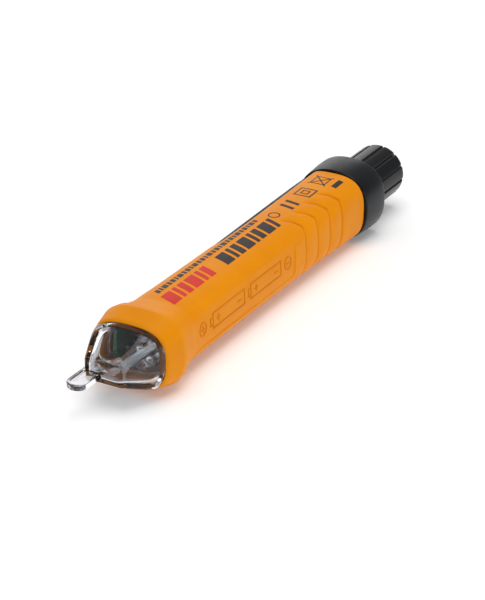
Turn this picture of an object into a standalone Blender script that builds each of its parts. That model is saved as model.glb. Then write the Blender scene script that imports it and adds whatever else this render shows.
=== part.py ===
"""Non contact voltage tester: a pen with a clear sensing tip, a torch, two in-line cells and a screw cap.

The pen lies along X with its tip at -X and its screw cap at +X. Its printed face is up (+Z), the
embossed battery panel faces -Y, and the clip and the two buttons are on the +Y side.
Sizes are in millimetres and are turned into metres when a mesh is made. A place along the pen is its
distance s from the tip, y and z are measured from the pen's axis, and the floor touches the head and
the collar.
"""

import math

import bmesh
import bpy
from mathutils import Vector

MM = 0.001
GAP = 0.3

# The pen as a whole
LENGTH = 172.0
AXIS_HEIGHT = 10.9
SQUARENESS = 2.84
AROUND = 40

# Places along the pen, from the tip
FACE_S = 9.3
RIM_S = 22.1
HEAD_END_S = 31.3
WAIST_S = 39.2
BODY_END_S = 138.9
COLLAR_END_S = 151.1
NECK_END_S = 162.0
CAP_START_S = 151.6

# The casing's half width and half height along the pen
CASING_PROFILE = [
    (RIM_S, 11.15, 8.85),
    (22.6, 11.5, 9.2),
    (25.8, 12.3, 10.1),
    (28.7, 13.0, 10.9),
    (HEAD_END_S, 12.6, 10.5),
    (31.9, 12.15, 10.05),
    (35.5, 11.35, 9.5),
    (WAIST_S, 10.8, 9.05),
    (60.0, 10.35, 9.3),
    (94.0, 10.1, 9.6),
    (120.0, 10.4, 10.0),
    (BODY_END_S, 10.7, 10.4),
]
CASING_WALL = 1.8
CASING_BORE_HALF = (9.2, 8.4)
MOUTH_END_S = 26.2
MOUTH_HALF = (10.1, 7.8)

# The four finger grooves round the -Y side
GROOVES_S = [103.3, 110.8, 118.3, 125.6]
GROOVE_HALF_WIDTH = 1.1
GROOVE_DEPTH = 0.5

# The clear tip
FACE_HALF = (5.8, 3.2)
FACE_Z = 0.45
FACE_SQUARENESS = 5.0
LENS_WALL = 1.3
LENS_RIM_HALF = (11.2, 8.9)
SPIGOT_END_S = 25.9
TONGUE_Y = 3.7
TONGUE_Z = -0.75
TONGUE_HALF_WIDTH = 3.0
TONGUE_THICKNESS = 1.7

# The electronics
BOARD_S = (24.0, 62.5)
BOARD_Y = (5.0, 6.0)
BOARD_HALF_HEIGHT = 4.9
TORCH_Y = -3.8
TORCH_Z = -0.5
TORCH_FRONT_S = 19.5
TORCH_R = 2.5
ALARM_Y = 0.6
ALARM_Z = -1.6
ALARM_FRONT_S = 13.6
ALARM_LENGTH = 4.9

# The buttons and their bezel
BUTTON_PLACES_S = {"power": 45.5, "torch": 57.5}
BUTTON_HALF = (4.2, 2.6)
BUTTON_TOP_Y = 11.3
BEZEL_S = 51.5
BEZEL_HALF = (12.0, 4.4)
BEZEL_Y = (8.9, 10.7)

# The cells
CELL_R = 5.25
CELL_LENGTH = 44.3
CELL_STARTS_S = {"front_battery": 64.2, "rear_battery": 108.9}
SLEEVE_R = (5.6, 6.6)
SLEEVE_S = (63.0, 133.5)

# The collar, its threaded neck and the cap
COLLAR_HALF = (12.05, 11.5)
COLLAR_SQUARENESS = 2.35
COLLAR_SPIGOT_S = 134.2
COLLAR_SPIGOT_HALF = (8.6, 8.1)
NECK_BORE_R = 5.65
NECK_R = 6.35
THREAD_HEIGHT = 0.6
THREAD_PITCH = 2.5
THREAD_S = (153.6, 161.4)
THREAD_FADE = 0.8
THREAD_AROUND = 28
THREAD_ROWS_PER_PITCH = 6
CAP_R = 8.55
CAP_BAND_R = 8.1
CAP_RIBS = 12
POINTS_PER_RIB = 4
RIB_HEIGHT = 0.55
RIBS_START_S = 154.2
CAP_CAVITY_END_S = 167.6
CAP_CAVITY_R = 6.45
SEAL_SEAT_R = 7.45

# The clip
CLIP_S = (83.0, 138.3)
CLIP_OUT_Y = 12.5
CLIP_THICKNESS = 1.3
CLIP_HALF_WIDTH = (3.2, 4.4)
CLIP_ROOT_END_S = 145.2
CLIP_PIVOT = (141.6, 11.7)
NOTCH_FLOOR_Y = 10.6


# ---------------------------------------------------------------- making meshes


def place(s, y, z):
    """A point of the pen in metres, with the pen's middle at x = 0 and the floor at z = 0."""
    return Vector(((s - LENGTH / 2) * MM, y * MM, (z + AXIS_HEIGHT) * MM))


def principled(name, color, roughness, metallic=0.0, alpha=1.0):
    material = bpy.data.materials.new(name)
    material.use_nodes = True
    shader = material.node_tree.nodes["Principled BSDF"]
    shader.inputs["Base Color"].default_value = (*color, 1.0)
    shader.inputs["Roughness"].default_value = roughness
    shader.inputs["Metallic"].default_value = metallic
    shader.inputs["Alpha"].default_value = alpha
    return material


def add_object(name, bm, material, pivot=None):
    """Makes an object from a bmesh whose points are in metres, with its origin at the pivot."""
    bmesh.ops.recalc_face_normals(bm, faces=bm.faces)
    mesh = bpy.data.meshes.new(name)
    bm.to_mesh(mesh)
    bm.free()
    mesh.materials.append(material)
    mesh.shade_smooth()
    mesh.set_sharp_from_angle(angle=math.radians(35))
    node = bpy.data.objects.new(name, mesh)
    bpy.context.scene.collection.objects.link(node)
    if pivot is not None:
        for vertex in mesh.vertices:
            vertex.co -= pivot
        node.location = pivot
    return node


def loft(rings, hollow=False):
    """A closed skin through rings of points: capped at both ends, or joined back to its start."""
    bm = bmesh.new()
    made = [[bm.verts.new(place(*point)) for point in ring] for ring in rings]
    pairs = list(zip(made, made[1:]))
    if hollow:
        pairs.append((made[-1], made[0]))
    for one, two in pairs:
        for i in range(len(one)):
            j = (i + 1) % len(one)
            bm.faces.new((one[i], one[j], two[j], two[i]))
    if not hollow:
        bm.faces.new(made[0])
        bm.faces.new(list(reversed(made[-1])))
    return bm


def cut(node, cutter, operation="DIFFERENCE"):
    """Applies a Boolean to the node with the cutter, which is then removed."""
    modifier = node.modifiers.new("cut", "BOOLEAN")
    modifier.operation = operation
    modifier.solver = "EXACT"
    modifier.object = cutter
    bpy.context.view_layer.update()
    graph = bpy.context.evaluated_depsgraph_get()
    result = bpy.data.meshes.new_from_object(node.evaluated_get(graph))
    node.modifiers.clear()
    node.data = result
    bpy.data.objects.remove(cutter)
    return node


# ---------------------------------------------------------------- outlines


def squircle(s, half, z=0.0, squareness=SQUARENESS, around=AROUND):
    """A rounded square across the pen, with a flat facet in the middle of each side."""
    ring = []
    for i in range(around):
        angle = 2 * math.pi * (i + 0.5) / around
        c, d = math.cos(angle), math.sin(angle)
        y = half[0] * math.copysign(abs(c) ** (2 / squareness), c)
        w = half[1] * math.copysign(abs(d) ** (2 / squareness), d)
        ring.append((s, y, max(w + z, -AXIS_HEIGHT)))
    return ring


def circle(s, radius, y=0.0, z=0.0, around=24):
    return [
        (
            s,
            y + radius * math.cos(2 * math.pi * (i + 0.5) / around),
            z + radius * math.sin(2 * math.pi * (i + 0.5) / around),
        )
        for i in range(around)
    ]


def stadium(y, s, half, around=20, z=0.0):
    """A slot with round ends that faces +Y: half is its half length along the pen and its half height."""
    radius = half[1]
    ring = []
    for i in range(around):
        angle = 2 * math.pi * (i + 0.5) / around
        c, d = math.cos(angle), math.sin(angle)
        along = s + math.copysign(half[0] - radius, c) + radius * c
        up = z + math.copysign(half[1] - radius, d) + radius * d
        ring.append((along, y, up))
    return ring


def box_rings(s, y, z):
    """Two rectangles that bound a box: s, y and z are (low, high)."""
    corners = [(y[0], z[0]), (y[1], z[0]), (y[1], z[1]), (y[0], z[1])]
    return [[(end, a, b) for a, b in corners] for end in s]


def box_node(name, s, y, z, material):
    return add_object(name, loft(box_rings(s, y, z)), material)


def turned(profile, y=0.0, z=0.0, around=24):
    """Rings for a shape turned about a line along the pen, from (s, radius) pairs."""
    return [circle(s, radius, y, z, around) for s, radius in profile]


def tube_along(points, radius, around=8):
    """Rings of a wire through the points, each ring square to the wire there."""
    path = [Vector(point) for point in points]
    rings = []
    side = None
    for i, here in enumerate(path):
        ahead = path[min(i + 1, len(path) - 1)]
        behind = path[max(i - 1, 0)]
        along = (ahead - behind).normalized()
        if side is None:
            guess = Vector((0, 0, 1)) if abs(along.z) < 0.9 else Vector((0, 1, 0))
            side = along.cross(guess).normalized()
        side = (side - along * side.dot(along)).normalized()
        up = along.cross(side)
        ring = []
        for k in range(around):
            angle = 2 * math.pi * k / around
            offset = side * math.cos(angle) + up * math.sin(angle)
            ring.append(tuple(here + offset * radius))
        rings.append(ring)
    return rings


# ---------------------------------------------------------------- casing and clear tip


def casing_half(s):
    """The casing's half width and half height at s."""
    for (s0, a0, b0), (s1, a1, b1) in zip(CASING_PROFILE, CASING_PROFILE[1:]):
        if s <= s1:
            t = max(0.0, (s - s0) / (s1 - s0))
            return a0 + (a1 - a0) * t, b0 + (b1 - b0) * t
    return CASING_PROFILE[-1][1:]


def groove_depth(s, y, z):
    """How deep the finger grooves are at a place on the casing: they fade out on the printed face."""
    nearest = min(abs(s - groove) for groove in GROOVES_S)
    if nearest >= GROOVE_HALF_WIDTH:
        return 0.0
    across = max(0.0, min(1.0, (-y - 2.5) / 3.0))
    return GROOVE_DEPTH * across * (0.5 + 0.5 * math.cos(math.pi * nearest / GROOVE_HALF_WIDTH))


def casing_ring(s):
    ring = []
    for _, y, z in squircle(s, casing_half(s)):
        size = math.hypot(y, z)
        keep = 1 - groove_depth(s, y, z) / size
        ring.append((s, y * keep, z * keep))
    return ring


def make_main_casing(material):
    stations = {s for s, _, _ in CASING_PROFILE} | {77.0, 107.0, 114.5, 122.0, 130.0}
    for groove in GROOVES_S:
        stations |= {groove - GROOVE_HALF_WIDTH, groove, groove + GROOVE_HALF_WIDTH}
    rings = [casing_ring(s) for s in sorted(stations)]
    bore_a, bore_b = CASING_BORE_HALF
    for s in (BODY_END_S, 100.0, 62.0, WAIST_S, MOUTH_END_S + 3.0):
        a, b = casing_half(s)
        rings.append(squircle(s, (min(a - CASING_WALL, bore_a), min(b - CASING_WALL, bore_b))))
    rings.append(squircle(MOUTH_END_S, (bore_a, bore_b - 1.0)))
    rings.append(squircle(MOUTH_END_S, MOUTH_HALF))
    rings.append(squircle(RIM_S, MOUTH_HALF))
    node = add_object("main_casing", loft(rings, hollow=True), material)
    window = [stadium(y, BEZEL_S, (BEZEL_HALF[0] + GAP, BEZEL_HALF[1] + GAP)) for y in (7.0, 13.0)]
    return cut(node, add_object("window_cutter", loft(window), material))


def make_tip_lens(material):
    rim = LENS_RIM_HALF
    spigot = (MOUTH_HALF[0] - GAP, MOUTH_HALF[1] - GAP)
    joint_s = RIM_S - GAP
    rings = [
        squircle(FACE_S, (FACE_HALF[0] - 0.3, FACE_HALF[1] - 0.3), FACE_Z, FACE_SQUARENESS),
        squircle(FACE_S + 0.4, FACE_HALF, FACE_Z, FACE_SQUARENESS),
        squircle(FACE_S + 6.0, (8.4, 5.9), FACE_Z / 2, 3.6),
        squircle(joint_s, rim, 0.0, SQUARENESS),
        squircle(joint_s, spigot),
        squircle(SPIGOT_END_S, spigot),
        squircle(SPIGOT_END_S, (spigot[0] - LENS_WALL, spigot[1] - LENS_WALL)),
        squircle(joint_s - 1.5, (spigot[0] - LENS_WALL, spigot[1] - LENS_WALL)),
        squircle(FACE_S + 6.0, (7.05, 4.55), FACE_Z / 2, 3.6),
        squircle(FACE_S + 1.7, (4.6, 2.0), FACE_Z, FACE_SQUARENESS),
    ]
    node = add_object("tip_lens", loft(rings), material)
    return cut(node, add_object("tongue", loft(tongue_rings()), material), "UNION")


def tongue_rings():
    """The flat blade that reaches in front of the clear face: rounded at its free end."""
    low = TONGUE_Z - TONGUE_THICKNESS / 2
    high = TONGUE_Z + TONGUE_THICKNESS / 2
    outline = [(FACE_S + 0.9, TONGUE_Y - TONGUE_HALF_WIDTH)]
    for i in range(13):
        angle = math.pi * (i / 12)
        along = TONGUE_HALF_WIDTH * (1 - math.sin(angle))
        outline.append((along, TONGUE_Y - TONGUE_HALF_WIDTH * math.cos(angle)))
    outline.append((FACE_S + 0.9, TONGUE_Y + TONGUE_HALF_WIDTH))
    middle_y = TONGUE_Y
    middle_s = FACE_S / 2
    rings = []
    for z, shrink in ((low, 0.9), (low + 0.35, 1.0), (high - 0.35, 1.0), (high, 0.9)):
        ring = []
        for s, y in outline:
            inner_s = s if s > FACE_S else middle_s + (s - middle_s) * shrink
            ring.append((inner_s, middle_y + (y - middle_y) * shrink, z))
        rings.append(ring)
    return rings


# ---------------------------------------------------------------- electronics


def make_board_parts(materials):
    low_y, high_y = BOARD_Y
    height = (-BOARD_HALF_HEIGHT, BOARD_HALF_HEIGHT)
    box_node("main_board", BOARD_S, BOARD_Y, height, materials["board"])
    chip_y = low_y - GAP
    box_node("microcontroller", (33, 39), (chip_y - 1.5, chip_y), (-2.5, 2.5), materials["chip"])
    box_node("amplifier_chip", (53, 57), (chip_y - 1.3, chip_y), (-4.6, -0.9), materials["chip"])
    for name, s, z in (
        ("front_resistor", 30.0, -3.2),
        ("middle_resistor", 41.5, -4.0),
        ("rear_resistor", 59.5, 3.2),
    ):
        box_node(name, (s - 1.0, s + 1.0), (chip_y - 0.6, chip_y), (z - 0.6, z + 0.6), materials["chip"])
    can = [
        [(s, y, z) for s, _, z in stadium(y, 56.0, (size, size), z=2.6)]
        for y, size in ((chip_y - 5.0, 1.9), (chip_y - 4.7, 2.1), (chip_y, 2.1))
    ]
    add_object("capacitor", loft(can), materials["can"])
    buzzer = [
        stadium(y, 46.5, (size, size), around=28)
        for y, size in ((chip_y - 4.2, 4.3), (chip_y - 3.9, 4.6), (chip_y, 4.6))
    ]
    add_object("buzzer", loft(buzzer), materials["chip"])
    for name, s in BUTTON_PLACES_S.items():
        y = (high_y + GAP, high_y + 0.9)
        box_node(f"{name}_switch", (s - 2.4, s + 2.4), y, (-2.4, 2.4), materials["chip"])


def make_sensor_strip(material):
    """The brass antenna: a flat strip that starts behind the clear blade and ends short of the board."""
    thickness = 0.3
    s = (FACE_S + 2.2, BOARD_S[0] - GAP)
    z = (TONGUE_Z - thickness / 2, TONGUE_Z + thickness / 2)
    return box_node("sensor_strip", s, (TONGUE_Y - 1.2, TONGUE_Y + 1.2), z, material)


def make_torch(materials):
    front = TORCH_FRONT_S
    dome = []
    for i in range(1, 6):
        angle = math.pi / 2 * i / 5
        dome.append((front + TORCH_R * (1 - math.cos(angle)), TORCH_R * math.sin(angle)))
    flange_s = front + 7.6
    profile = dome + [
        (flange_s, TORCH_R),
        (flange_s, TORCH_R + 0.4),
        (flange_s + 1.0, TORCH_R + 0.4),
    ]
    led = turned(profile, TORCH_Y, TORCH_Z, 20)
    add_object("torch_led", loft(led), materials["led"])
    cup = [
        (front + 4.0, TORCH_R + GAP),
        (front + 4.0, TORCH_R + 1.1),
        (flange_s - GAP, TORCH_R + 1.3),
        (flange_s - GAP, TORCH_R + GAP),
    ]
    add_object("led_holder", loft(turned(cup, TORCH_Y, TORCH_Z, 20), hollow=True), materials["holder"])
    start_s = flange_s + 1.0 + GAP
    for name, z, bend_s in (("upper_led_lead", 0.8, 30.6), ("lower_led_lead", -1.8, 31.6)):
        route = [
            (start_s, TORCH_Y, z),
            (bend_s - 1.0, TORCH_Y, z),
            (bend_s - 0.3, TORCH_Y + 0.3, z),
            (bend_s, TORCH_Y + 1.0, z),
            (bend_s, BOARD_Y[0] - GAP, z),
        ]
        add_object(name, loft(tube_along(route, 0.25)), materials["lead"])


def make_alarm_led(material):
    """The small milky bulb low in the tip that lights up when the tip senses a voltage."""
    radius = 1.4
    front = ALARM_FRONT_S
    dome = [
        (front + radius * (1 - math.cos(math.pi / 2 * i / 4)), radius * math.sin(math.pi / 2 * i / 4))
        for i in range(1, 5)
    ]
    flange_s = front + ALARM_LENGTH - 0.6
    profile = dome + [(flange_s, radius), (flange_s, radius + 0.3), (front + ALARM_LENGTH, radius + 0.3)]
    add_object("alarm_led", loft(turned(profile, ALARM_Y, ALARM_Z, 16)), material)


def make_alarm_leads(material):
    """The bulb's two wires, which run back to the board."""
    start_s = ALARM_FRONT_S + ALARM_LENGTH + GAP
    for name, z, end_s in (
        ("left_alarm_lead", ALARM_Z + 0.7, 26.4),
        ("right_alarm_lead", ALARM_Z - 0.7, 27.4),
    ):
        route = [
            (start_s, ALARM_Y, z),
            (end_s - 1.0, ALARM_Y, z),
            (end_s - 0.3, ALARM_Y + 0.3, z),
            (end_s, ALARM_Y + 1.0, z),
            (end_s, BOARD_Y[0] - GAP, z),
        ]
        add_object(name, loft(tube_along(route, 0.2, 6)), material)


# ---------------------------------------------------------------- buttons


def make_bezel(material):
    rings = [
        stadium(BEZEL_Y[0], BEZEL_S, BEZEL_HALF, around=32),
        stadium(BEZEL_Y[1] - 0.3, BEZEL_S, BEZEL_HALF, around=32),
        stadium(BEZEL_Y[1], BEZEL_S, (BEZEL_HALF[0] - 0.4, BEZEL_HALF[1] - 0.4), around=32),
    ]
    node = add_object("button_bezel", loft(rings), material)
    hole = (BUTTON_HALF[0] + GAP, BUTTON_HALF[1] + GAP)
    for s in BUTTON_PLACES_S.values():
        cutter = loft([stadium(y, s, hole, around=24) for y in (7.0, 13.0)])
        cut(node, add_object("hole_cutter", cutter, material))
    return node


def make_buttons(materials):
    flange = (BUTTON_HALF[0] + 0.7, BUTTON_HALF[1] + 0.5)
    crown = (BUTTON_HALF[0] - 0.7, BUTTON_HALF[1] - 0.7)
    for name, s in BUTTON_PLACES_S.items():
        rings = [
            stadium(7.6, s, flange, around=24),
            stadium(8.0, s, flange, around=24),
            stadium(8.0, s, BUTTON_HALF, around=24),
            stadium(BUTTON_TOP_Y - 0.5, s, BUTTON_HALF, around=24),
            stadium(BUTTON_TOP_Y, s, crown, around=24),
        ]
        pivot = place(s, 9.0, 0.0)
        add_object(f"{name}_button", loft(rings), materials[f"{name}_button"], pivot)


# ---------------------------------------------------------------- cells and contacts


def make_cells(material):
    for name, start in CELL_STARTS_S.items():
        nub = start + 1.0
        profile = [
            (start, 1.7),
            (start + 0.2, 1.9),
            (nub, 1.9),
            (nub, CELL_R - 0.4),
            (nub + 0.4, CELL_R),
            (start + CELL_LENGTH - 0.3, CELL_R),
            (start + CELL_LENGTH, CELL_R - 0.3),
        ]
        add_object(name, loft(turned(profile)), material)


def make_sleeve(material):
    inner, outer = SLEEVE_R
    profile = [(SLEEVE_S[0], inner), (SLEEVE_S[0], outer), (SLEEVE_S[1], outer), (SLEEVE_S[1], inner)]
    return add_object("battery_sleeve", loft(turned(profile), hollow=True), material)


def make_contacts(material):
    plate_end = CELL_STARTS_S["front_battery"] - GAP
    plate = [(plate_end - 0.5, 4.2), (plate_end, 4.2)]
    add_object("positive_contact", loft(turned(plate)), material)
    z = (SLEEVE_R[1] + GAP, SLEEVE_R[1] + GAP + 0.4)
    box_node("negative_strip", (BOARD_S[1] + GAP, COLLAR_SPIGOT_S - GAP), (-1.5, 1.5), z, material)


# ---------------------------------------------------------------- collar, cap and thread


def thread_share(s):
    """How much of its full height the thread has at s: it fades in and out over THREAD_FADE."""
    start, end = THREAD_S
    return max(0.0, min(1.0, (s - start) / THREAD_FADE, (end - s) / THREAD_FADE))


def thread_wave(s, angle):
    """The profile of a right-hand thread, from 0 in its valley to 1 on its ridge."""
    phase = 2 * math.pi * (s - THREAD_S[0]) / THREAD_PITCH - angle
    return 0.5 + 0.5 * math.cos(phase)


def neck_radius(s, angle):
    return NECK_R + THREAD_HEIGHT * thread_share(s) * thread_wave(s, angle)


def cap_bore_radius(s, angle):
    """The cap's own thread, a gap wider than the neck's, and as wide as its groove where it fades."""
    return NECK_R + GAP + THREAD_HEIGHT * (1 - thread_share(s) * (1 - thread_wave(s, angle)))


def thread_rings(radius_at, around):
    """Rings along the thread, from the collar to the tail, for the neck's or the cap's radius."""
    start, end = THREAD_S
    count = round((end - start) / THREAD_PITCH * THREAD_ROWS_PER_PITCH)
    rings = []
    for row in range(count + 1):
        s = start + (end - start) * row / count
        ring = []
        for i in range(around):
            angle = 2 * math.pi * (i + 0.5) / around
            radius = radius_at(s, angle)
            ring.append((s, radius * math.cos(angle), radius * math.sin(angle)))
        rings.append(ring)
    return rings


def make_collar(material):
    """The black collar that closes the casing, with the threaded neck that the cap screws on to."""
    spigot_a, spigot_b = COLLAR_SPIGOT_HALF
    a, b = COLLAR_HALF
    front = BODY_END_S + GAP
    outside = [
        (COLLAR_SPIGOT_S, spigot_a - 0.3, spigot_b - 0.3),
        (COLLAR_SPIGOT_S + 0.4, spigot_a, spigot_b),
        (front, spigot_a, spigot_b),
        (front, a - 0.5, b - 0.5),
        (front + 0.6, a, b),
        (COLLAR_END_S - 1.4, a, b),
        (COLLAR_END_S - 0.4, a - 0.5, b - 0.5),
        (COLLAR_END_S, a - 1.4, b - 1.4),
    ]
    rings = [squircle(s, (y, z), 0.0, COLLAR_SQUARENESS, THREAD_AROUND) for s, y, z in outside]
    rings.append(circle(COLLAR_END_S, NECK_R, around=THREAD_AROUND))
    rings += thread_rings(neck_radius, THREAD_AROUND)
    neck_end = [(NECK_END_S, NECK_R - 0.2), (NECK_END_S, NECK_BORE_R), (COLLAR_SPIGOT_S, NECK_BORE_R)]
    rings += turned(neck_end, around=THREAD_AROUND)
    node = add_object("rear_collar", loft(rings, hollow=True), material)
    half = CLIP_HALF_WIDTH[1] + GAP
    notch = box_rings((BODY_END_S - 1.0, CLIP_ROOT_END_S + GAP), (NOTCH_FLOOR_Y, 14.0), (-half, half))
    return cut(node, add_object("notch_cutter", loft(notch), material))


def cap_ring(s, radius, depth=0.0):
    """A ring of the fluted cap: narrow ribs at the radius, with broad valleys between them."""
    around = CAP_RIBS * POINTS_PER_RIB
    ring = []
    for i in range(around):
        angle = 2 * math.pi * (i + 0.5) / around
        r = radius - (0.0 if i % POINTS_PER_RIB == 0 else depth)
        ring.append((s, r * math.cos(angle), r * math.sin(angle)))
    return ring


def make_cap(material):
    """The fluted screw cap, closed at its rear, with a thread that matches the neck's."""
    bore = [cap_ring(s, CAP_CAVITY_R) for s in (CAP_CAVITY_END_S, NECK_END_S + 0.6)]
    bore += reversed(thread_rings(cap_bore_radius, CAP_RIBS * POINTS_PER_RIB))
    bore += [cap_ring(s, SEAL_SEAT_R) for s in (THREAD_S[0] - 0.2, CAP_START_S)]
    outside = [
        cap_ring(CAP_START_S, CAP_BAND_R - 0.3),
        cap_ring(CAP_START_S + 0.3, CAP_BAND_R),
        cap_ring(RIBS_START_S, CAP_BAND_R),
        cap_ring(RIBS_START_S + 0.8, CAP_R, RIB_HEIGHT),
        cap_ring(LENGTH - 1.4, CAP_R - 0.15, RIB_HEIGHT),
        cap_ring(LENGTH - 0.4, CAP_R - 0.7, 0.2),
        cap_ring(LENGTH, CAP_R - 1.7),
    ]
    return add_object("battery_cap", loft(bore + outside), material, place(CAP_START_S, 0, 0))


def make_cap_contact(material):
    """The sprung washer inside the cap that carries the negative end's current."""
    profile = [(CAP_CAVITY_END_S - 1.0, 4.9), (CAP_CAVITY_END_S - GAP, 4.9)]
    add_object("cap_contact", loft(turned(profile)), material)


def make_spring(material):
    """The coil that presses the cells forward: it rests on the washer."""
    start = CELL_STARTS_S["rear_battery"] + CELL_LENGTH + GAP + 0.35
    end = CAP_CAVITY_END_S - 1.0 - GAP - 0.35
    turns = 4.5
    per_turn = 14
    count = round(turns * per_turn)
    route = []
    for i in range(count + 1):
        t = i / count
        angle = 2 * math.pi * turns * t
        radius = 2.6 + 1.4 * t
        route.append((start + (end - start) * t, radius * math.cos(angle), radius * math.sin(angle)))
    add_object("negative_spring", loft(tube_along(route, 0.35, 6)), material)


def make_seal(material):
    """The rubber ring round the root of the neck."""
    ring_s = COLLAR_END_S + 1.25
    rings = []
    for i in range(8):
        angle = 2 * math.pi * i / 8
        s = ring_s + 0.5 * math.cos(angle)
        rings.append(circle(s, NECK_R + GAP + 0.25 + 0.25 * math.sin(angle), around=24))
    add_object("cap_seal", loft(rings, hollow=True), material)


# ---------------------------------------------------------------- clip


def make_clip(material):
    """The sprung strap on the +Y side: its root sits in the collar's notch and its toe near the casing."""
    inner_y = CLIP_OUT_Y - CLIP_THICKNESS
    narrow, wide = CLIP_HALF_WIDTH
    front, rear = CLIP_S
    toe_gap_y = casing_half(front)[0] + GAP + 0.15

    def strap(s, low, high, half, chamfer=0.5):
        return [
            (s, low, -half),
            (s, high - chamfer, -half),
            (s, high, -half + chamfer),
            (s, high, half - chamfer),
            (s, high - chamfer, half),
            (s, low, half),
        ]

    rings = [
        strap(front, toe_gap_y + 0.8, CLIP_OUT_Y - 0.9, narrow - 1.2, 0.3),
        strap(front + 0.8, toe_gap_y + 0.2, CLIP_OUT_Y - 0.4, narrow - 0.3),
        strap(front + 2.4, toe_gap_y, CLIP_OUT_Y - 0.1, narrow),
        strap(front + 5.0, toe_gap_y + 0.2, CLIP_OUT_Y, narrow + 0.1),
        strap(front + 7.0, inner_y, CLIP_OUT_Y, narrow + 0.2),
        strap(rear - 3.0, inner_y, CLIP_OUT_Y, wide),
        strap(rear, inner_y - 0.1, CLIP_OUT_Y, wide),
        strap(CLIP_ROOT_END_S - 0.8, inner_y - 0.1, CLIP_OUT_Y, wide),
        strap(CLIP_ROOT_END_S, inner_y - 0.1, CLIP_OUT_Y - 0.8, wide - 0.3, 0.3),
    ]
    pivot = place(CLIP_PIVOT[0], CLIP_PIVOT[1], 0)
    return add_object("pocket_clip", loft(rings), material, pivot)


# ---------------------------------------------------------------- the whole tester


def make_materials():
    return {
        "casing": principled("orange_plastic", (0.87, 0.28, 0.01), 0.42),
        "lens": principled("clear_plastic", (0.92, 0.93, 0.94), 0.05, alpha=0.35),
        "black": principled("black_plastic", (0.012, 0.013, 0.016), 0.35),
        "rubber": principled("black_rubber", (0.02, 0.02, 0.02), 0.7),
        "board": principled("green_board", (0.01, 0.13, 0.07), 0.4),
        "chip": principled("dark_resin", (0.02, 0.02, 0.022), 0.5),
        "can": principled("capacitor_can", (0.6, 0.6, 0.62), 0.3, 1.0),
        "brass": principled("brass", (0.75, 0.55, 0.22), 0.3, 1.0),
        "steel": principled("plated_steel", (0.7, 0.7, 0.7), 0.25, 1.0),
        "lead": principled("tinned_wire", (0.75, 0.75, 0.74), 0.3, 1.0),
        "led": principled("clear_resin", (0.9, 0.92, 0.95), 0.08, alpha=0.4),
        "holder": principled("milky_plastic", (0.8, 0.8, 0.8), 0.3, alpha=0.6),
        "alarm": principled("milky_bulb", (0.85, 0.72, 0.66), 0.3),
        "sleeve": principled("grey_plastic", (0.12, 0.12, 0.13), 0.5),
        "cell": principled("cell_wrap", (0.1, 0.11, 0.13), 0.35, 0.4),
        "power_button": principled("red_rubber", (0.5, 0.03, 0.02), 0.55),
        "torch_button": principled("grey_rubber", (0.2, 0.2, 0.21), 0.55),
    }


def main():
    for old in list(bpy.data.objects):
        bpy.data.objects.remove(old)
    materials = make_materials()
    make_main_casing(materials["casing"])
    make_tip_lens(materials["lens"])
    make_sensor_strip(materials["brass"])
    make_board_parts(materials)
    make_torch(materials)
    make_alarm_led(materials["alarm"])
    make_alarm_leads(materials["lead"])
    make_bezel(materials["rubber"])
    make_buttons(materials)
    make_cells(materials["cell"])
    make_sleeve(materials["sleeve"])
    make_contacts(materials["steel"])
    make_collar(materials["black"])
    make_cap(materials["black"])
    make_cap_contact(materials["steel"])
    make_spring(materials["steel"])
    make_seal(materials["rubber"])
    make_clip(materials["black"])


main()
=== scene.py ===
"""The looks of the non contact voltage tester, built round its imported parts.

Places are in millimetres in the pen's own terms: s runs along the pen from the tip, y and z start
at the pen's axis. place() turns them into metres in the row's frame.
"""

import math

import bmesh
import bpy
import numpy as np
from mathutils import Matrix, Vector


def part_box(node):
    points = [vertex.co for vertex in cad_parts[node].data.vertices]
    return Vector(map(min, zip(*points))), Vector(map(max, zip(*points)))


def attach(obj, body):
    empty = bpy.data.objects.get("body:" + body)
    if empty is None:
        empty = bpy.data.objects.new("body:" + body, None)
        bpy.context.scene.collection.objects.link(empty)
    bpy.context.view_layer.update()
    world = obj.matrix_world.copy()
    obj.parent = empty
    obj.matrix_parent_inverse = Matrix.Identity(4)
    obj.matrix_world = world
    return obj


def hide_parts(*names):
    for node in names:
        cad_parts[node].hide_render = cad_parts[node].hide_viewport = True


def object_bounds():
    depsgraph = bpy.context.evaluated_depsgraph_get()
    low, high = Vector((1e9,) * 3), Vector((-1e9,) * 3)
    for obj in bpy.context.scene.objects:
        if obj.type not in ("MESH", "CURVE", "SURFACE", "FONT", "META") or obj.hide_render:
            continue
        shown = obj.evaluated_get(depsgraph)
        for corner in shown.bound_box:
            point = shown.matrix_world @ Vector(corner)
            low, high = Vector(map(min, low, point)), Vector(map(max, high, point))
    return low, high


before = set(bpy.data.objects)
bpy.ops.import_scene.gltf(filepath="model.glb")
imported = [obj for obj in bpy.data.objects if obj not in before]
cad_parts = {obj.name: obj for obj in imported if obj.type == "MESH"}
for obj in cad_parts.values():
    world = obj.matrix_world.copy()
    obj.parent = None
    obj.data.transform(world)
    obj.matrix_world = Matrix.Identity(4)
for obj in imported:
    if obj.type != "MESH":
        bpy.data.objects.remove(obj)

MM = 0.001
cad_low, cad_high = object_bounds()
cap_low, cap_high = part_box("battery_cap")
AXIS = Vector((cad_low.x, (cap_low.y + cap_high.y) / 2, (cap_low.z + cap_high.z) / 2))
FLOOR_Z = -AXIS.z / MM
LENGTH = (cad_high.x - cad_low.x) / MM
FINE = 1  # mesh steps are this many times coarser
SHARP_ANGLE = 35


def along(node, end):
    """Where a CAD node starts (0) or ends (1) along the pen, in mm from the tip."""
    return (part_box(node)[end].x - AXIS.x) / MM


# ---------- mesh making


def place(points):
    """Points (s, y, z) in mm as an array of row-frame points in metres."""
    return np.asarray(points, float) * MM + np.array(AXIS)


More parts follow.
